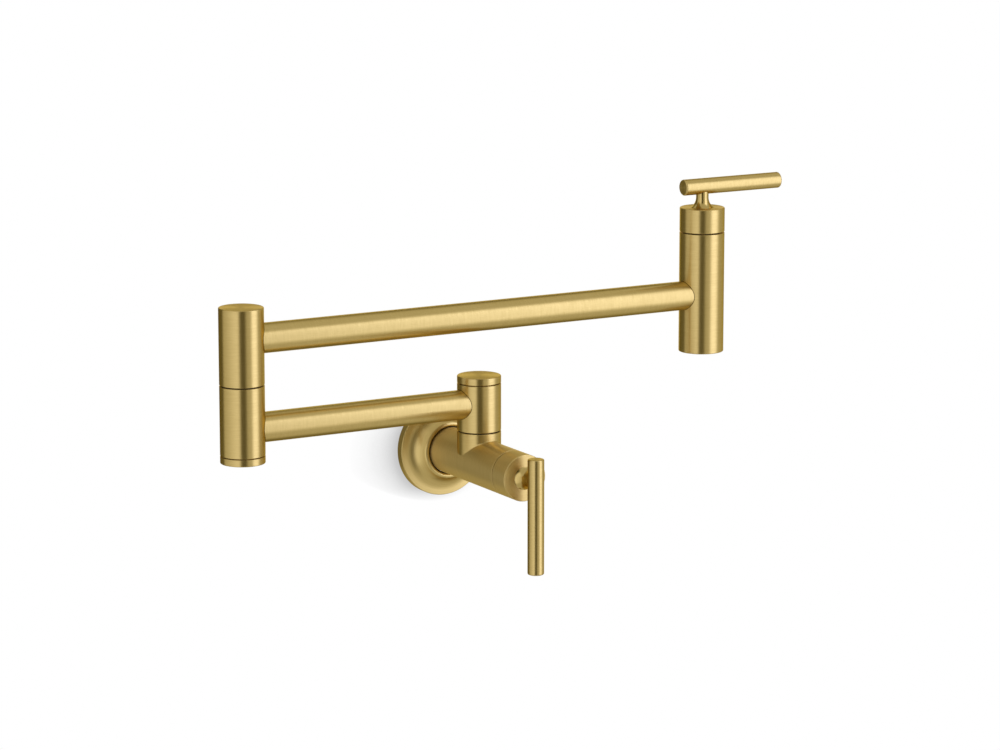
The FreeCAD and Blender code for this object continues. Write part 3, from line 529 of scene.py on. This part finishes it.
# %% Shape of the adapter
PITCH = 25.4 / 14 * MM
THREAD_DEPTH = 1.16 * MM
BORE_R, BORE_L = 9.3 * MM, 15.0 * MM
PASSAGE_R, BARREL_R = 5.0 * MM, 13.0 * MM
HEX_FLAT, HEX_L, ADAPTER_L = 14.5 * MM, 7.6 * MM, 30.0 * MM
CHAMFER_R, CHAMFER_SLOPE = 15.6 * MM, 1.7
BEYOND_HEX = 2 * HEX_FLAT  # a radius past the hexagon's corners, which the hexagon then cuts back
THREAD_ROWS = 190
FADE_PITCHES = 2  # the thread runs out over its last two pitches


def runs(*stations):
    """Radius and distance from the wall along straight runs, each given as its end and its steps."""
    pieces = [np.linspace(a[:2], b[:2], b[2], endpoint=False) for a, b in zip(stations, stations[1:])]
    return np.concatenate(pieces).T


def threaded_adapter(steps):
    """Closed wall of the adapter round the level axis.

    The thread is a cosine wave of distance over pitch less turns, which fades out at the bore's end. The
    hexagon's radius is its flat divided by the cosine of the angle from the middle of that flat.
    """
    turn = around_circle(steps)[:, None]
    radius, distance = runs(
        (BORE_R, 0.0, 0), (BORE_R, BORE_L, THREAD_ROWS), (PASSAGE_R, BORE_L, 6),
        (PASSAGE_R, ADAPTER_L, 4), (BARREL_R, ADAPTER_L, 6), (BARREL_R, HEX_L, 6),
        (BEYOND_HEX, HEX_L, 6), (BEYOND_HEX, 0.0, 24), (BORE_R + THREAD_DEPTH, 0.0, 12),
    )
    wave = 0.5 - 0.5 * np.cos(2 * np.pi * distance / PITCH - turn)
    fade = np.clip((BORE_L - distance) / (FADE_PITCHES * PITCH), 0.0, 1.0)
    in_bore = (np.arange(len(radius)) < THREAD_ROWS) * fade
    flat = HEX_FLAT / np.cos((turn + np.pi / 6) % (np.pi / 3) - np.pi / 6)
    cone = CHAMFER_R + np.minimum(distance, HEX_L - distance) * CHAMFER_SLOPE
    outside = np.minimum(flat, np.where(distance <= HEX_L, cone, flat))
    wall = np.minimum(radius + THREAD_DEPTH * wave * in_bore, outside)
    return stacked(wall * np.sin(turn), -distance, wall * np.cos(turn))


print("thread turns:", round(BORE_L / PITCH, 1))

# %% Adapter in bare brass
# Bar stock behind the flange is left bare: yellower, with plain turning marks
BARE = {"deep": "#B08A40", "light": "#D8B664", "roughness": 0.3, "anisotropy": 0.6}

adapter_brass, tree = blank_material("turned_brass_adapter")
around, _, stretched = brushing(tree, OUT_OF_WALL, WALL_CENTRE)
surface(tree, brush_finish(tree, around, stretched, BARE))
adapter_wall = threaded_adapter(steps=192)
adapter = closed_piece("threaded_adapter", adapter_wall, "wall_valve", adapter_brass)
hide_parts("inlet_adapter")
print("adapter faces:", len(adapter.data.polygons))

# %% [markdown]
# ## A light tent
# Shiny metal shows its surroundings, so a photographer surrounds it with cloth. A wide silk on the left
# gives the columns their broad tan side, a narrow bright one on the right gives the sharp highlight, and
# the opening for the camera shows up as the dark stripe down the middle of each column. Lamps would give
# hard spots instead. The tent is a sphere of cloth whose brightness is a smooth function of the direction,
# kept on its vertices. The camera stands outside and looks through it.

# %% Soft edges
def ramp(value, start, end):
    """Smooth step from 0 at start to 1 at end."""
    share = np.clip((value - start) / (end - start), 0.0, 1.0)
    return share * share * (3.0 - 2.0 * share)


def window(value, low, high, soft):
    """1 between two limits and 0 outside, with an edge that many degrees wide."""
    half = soft / 2
    return ramp(value, low - half, low + half) * (1.0 - ramp(value, high - half, high + half))


def over(below, above, share):
    """One brightness laid over another by a share between 0 and 1."""
    return below + (above - below) * share


print("halfway up an edge:", window(0.0, 0.0, 90.0, 10.0))

# %% Brightness around the tap
# Bearings are degrees to the right of the camera. A cloth has a left and a right edge, the width of these
# soft edges and a level of brightness
OPENING = 0.1
LEFT_SILK = (-101.0, -9.5, 13.0)
LEFT_SILK_RISE = (-94.0, -14.0)  # it brightens towards the camera between these bearings
LEFT_SILK_FAR, LEFT_SILK_GAIN = 0.55, 0.44
DIM_CLOTHS = {
    "right_fill": (24.0, 97.0, 12.0, 0.52),
    "right_back": (97.0, 157.0, 14.0, 0.46),
    "left_back": (-150.0, -112.0, 20.0, 0.075),
}


def side_level(bearing):
    """Brightness of the walls of the tent: the dark opening plus each cloth inside its own window."""
    silk = LEFT_SILK_FAR + LEFT_SILK_GAIN * ramp(bearing, *LEFT_SILK_RISE)
    level = OPENING + window(bearing, *LEFT_SILK) * silk
    for low, high, soft, brightness in DIM_CLOTHS.values():
        level = level + window(bearing, low, high, soft) * brightness
    return level


print("level of the walls left and right:", side_level(np.array([-60.0, 60.0])).round(2))

# %% Brightness in every direction
BEHIND = (95.0, 125.0)  # bearings to either side, past which the tent is lower
FAR_RIGHT = (115.0, 165.0)
ROOF, GROUND = 0.62, 0.6
GROUND_DIM_BEHIND, GROUND_DIM_RIGHT = 0.06, 0.34
ROOF_EDGE, GROUND_EDGE, EDGE_SOFT = 50.0, -46.0, 24.0
ROOF_DROP_BEHIND, ROOF_LIFT_RIGHT, GROUND_LIFT_BEHIND = 12.0, 8.0, 14.0
CARD_SIDE, CARD_RISE, CARD_LEVEL = (150.0, 168.0), (-27.0, 26.0, 10.0), 0.95
SILK_LEFT, SILK_RIGHT = (48.0, 61.0), (79.0, 101.0)
SILK_FOOT, SILK_HEAD = (-45.0, -13.0), (38.0, 54.0)
SILK_LEVEL, SILK_DIM, SILK_GLOW = 1.83, 0.93, (-12.0, 14.0)  # a little dimmer in its lower part


def cloth_level(bearing, rise):
    """Brightness in a direction: bearing to the right of the camera and rise above level, in degrees.

    Walls give way to roof and ground at their edges. The card behind the tap and the bright silk on the
    right are laid over them, each by the product of its soft edges.
    """
    behind, far_right = ramp(np.abs(bearing), *BEHIND), ramp(bearing, *FAR_RIGHT)
    ground = GROUND - GROUND_DIM_BEHIND * behind - GROUND_DIM_RIGHT * far_right
    poles = np.where(rise > 0.0, ROOF, ground)
    top = ROOF_EDGE - ROOF_DROP_BEHIND * behind + ROOF_LIFT_RIGHT * far_right
    bottom = GROUND_EDGE + GROUND_LIFT_BEHIND * behind
    cloth = over(poles, side_level(bearing), window(rise, bottom, top, EDGE_SOFT))
    card = ramp(np.abs(bearing), *CARD_SIDE) * window(rise, *CARD_RISE)
    cloth = over(cloth, CARD_LEVEL, card)
    across = ramp(bearing, *SILK_LEFT) * (1.0 - ramp(bearing, *SILK_RIGHT))
    right_silk = across * ramp(rise, *SILK_FOOT) * (1.0 - ramp(rise, *SILK_HEAD))
    silk = SILK_LEVEL * over(SILK_DIM, 1.0, ramp(rise, *SILK_GLOW))
    return over(cloth, silk, right_silk)


print("bright silk and opening:", cloth_level(np.array([70.0, 5.0]), 0.0).round(2))

# %% The tent
TENT_R = 1.9
TENT_CENTRE = (-0.1, -0.06, 0.06)
TENT_ROWS, TENT_COLUMNS = 91, 181
# Powers for red, green and blue: bright cloth is cool and dim cloth is warm
CLOTH_TINT = np.array([1.0, 1.05, 1.36])
# The camera stands left of straight out, so its bearing from the wall is negative
camera_bearing = float(np.degrees(np.arctan2(-sight.x, sight.y)))

bearing = np.linspace(-180.0, 180.0, TENT_COLUMNS)[None, :]
rise = np.linspace(-90.0, 90.0, TENT_ROWS)[:, None]
turn, tilt = np.radians(bearing + camera_bearing), np.radians(rise)
outward = stacked(np.sin(turn) * np.cos(tilt), -np.cos(turn) * np.cos(tilt), np.sin(tilt))
sphere = outward * TENT_R + np.array(TENT_CENTRE)
tent = mesh_object("light_tent", sphere, grid_faces(TENT_ROWS, TENT_COLUMNS))
light = np.ones((TENT_ROWS, TENT_COLUMNS, 4))
light[..., :3] = cloth_level(bearing, rise)[..., None] ** CLOTH_TINT
cloth = tent.data.attributes.new("light", "FLOAT_COLOR", "POINT")
cloth.data.foreach_set("color", light.ravel().astype(np.float32))
tent.visible_camera = False

material, tree = blank_material("tent_cloth_lit_from_behind")
glow = node(tree, "Attribute", attribute_name="light").outputs["Color"]
surface(tree, node(tree, "Emission", {"Color": glow, "Strength": 1.0}))
material.cycles.emission_sampling = "NONE"
tent.data.materials.append(material)
print("camera bearing", round(camera_bearing, 1), "degrees, mean light", light[..., :3].mean().round(2))

# %% [markdown]
# ## The wall and its soft shade
# The tap is screwed to a white wall. Only the patch of wall behind the flange matters, because there the
# flange leaves a soft shade on its left. A lamp could cast it, but would grey the rest of the white wall as
# well. Here the patch glows white, and an occlusion node counts how much of the light from the right is
# blocked close by and darkens the glow by it, so the shade is painted. It looks furthest level with the
# flange's middle and less far above and below, so that the shade narrows and fades there. The patch is
# clear from behind, so that the back of the tap can be looked at as well.

# %% Wall patch
WALL_R = 0.1
WALL_GAP = 0.2 * MM
SPOKES, RINGS = 97, 9

angle = np.linspace(0.0, 2 * np.pi, SPOKES)[:, None]
out = np.linspace(0.0, 1.0, RINGS)[None, :]
disc_x, disc_y = out * np.cos(angle), out * np.sin(angle)
disc_faces = grid_faces(SPOKES, RINGS)
wall = mesh_object("wall_patch", stacked(disc_x * WALL_R, WALL_GAP, disc_y * WALL_R), disc_faces)
wall.visible_glossy = False
print("wall patch reaches", WALL_R, "m")

# %% White glow with the flange's painted shade
SHADE_REACH, CONTACT_REACH = 40.0 * MM, 3.0 * MM  # level with the flange's middle, and far above or below
NARROWS = (9.0 * MM, 49.0 * MM)  # heights from the middle between which the shade narrows
FADES = (26.0 * MM, 46.0 * MM)  # and between which it fades
DEEPEST, FAINTEST = 0.55, 0.9
SHADE_LIGHT = Vector((0.8, -0.6, 0.12)).normalized()  # where the light that the flange blocks comes from
FALL_OFF = 3.0  # power that gathers the shade near the flange
FULL_LIGHT = 0.94  # openness that already counts as unshaded

material, tree = blank_material("white_wall_glow_painted_shade")
place = node(tree, "TexCoord").outputs["Object"]
height = node(tree, "SeparateXYZ", {0: place}).outputs["Z"]
level = node(tree, "Math", {0: height}, operation="ABSOLUTE").outputs[0]
reach = node(tree, "MapRange", {
    "Value": level,
    "From Min": NARROWS[0], "From Max": NARROWS[1],
    "To Min": SHADE_REACH, "To Max": CONTACT_REACH,
}, interpolation_type="SMOOTHSTEP").outputs[0]
depth = node(tree, "MapRange", {
    "Value": level,
    "From Min": FADES[0], "From Max": FADES[1],
    "To Min": DEEPEST, "To Max": FAINTEST,
}, interpolation_type="SMOOTHSTEP").outputs[0]
from_light = node(tree, "CombineXYZ", dict(zip("XYZ", SHADE_LIGHT))).outputs[0]
openness = node(tree, "AmbientOcclusion", {"Distance": reach, "Normal": from_light}, samples=16)
steep = node(tree, "Math", {0: openness.outputs["AO"], 1: FALL_OFF}, operation="POWER")
shade = node(tree, "MapRange", {"Value": steep.outputs[0], "From Max": FULL_LIGHT, "To Min": depth})
lit = node(tree, "Emission", {"Color": WHITE, "Strength": shade.outputs[0]})
clear = node(tree, "BsdfTransparent")
rear = node(tree, "NewGeometry").outputs["Backfacing"]
surface(tree, node(tree, "MixShader", {0: rear, 1: lit.outputs[0], 2: clear.outputs[0]}))
wall.data.materials.append(material)
print("occlusion is counted within", round(SHADE_REACH / MM), "mm")

# %% [markdown]
# ## Floor and background
# Both are plain white paper, far enough away to leave the tent alone. The floor could be a plain diffuse
# sheet, but it would then be grey under the tap. So what the camera and the metal see of it is paper white,
# and all other light falls on it as on any sheet.

# %% Paper
FLOOR_Z = -3.6
FLOOR_R = 10.0

floor = mesh_object("floor", stacked(disc_x * FLOOR_R, disc_y * FLOOR_R, FLOOR_Z), disc_faces)
material, tree = blank_material("white_paper_floor")
paper = node(tree, "BsdfDiffuse", {"Color": WHITE})
white = node(tree, "Emission", {"Color": WHITE, "Strength": 1.0})
ray = node(tree, "LightPath").outputs
direct = node(tree, "Math", {0: ray["Is Camera Ray"], 1: ray["Is Glossy Ray"]}, operation="ADD")
seen = node(tree, "Math", {0: direct.outputs[0], 1: ray["Is Transmission Ray"]}, operation="ADD")
surface(tree, node(tree, "MixShader", {0: seen.outputs[0], 1: paper.outputs[0], 2: white.outputs[0]}))
floor.data.materials.append(material)

scene.world = bpy.data.worlds.new("white_studio")
scene.world.use_nodes = True
backdrop = scene.world.node_tree.nodes["Background"]
backdrop.inputs["Color"].default_value = WHITE
backdrop.inputs["Strength"].default_value = 1.0
print("floor", -FLOOR_Z, "m below")
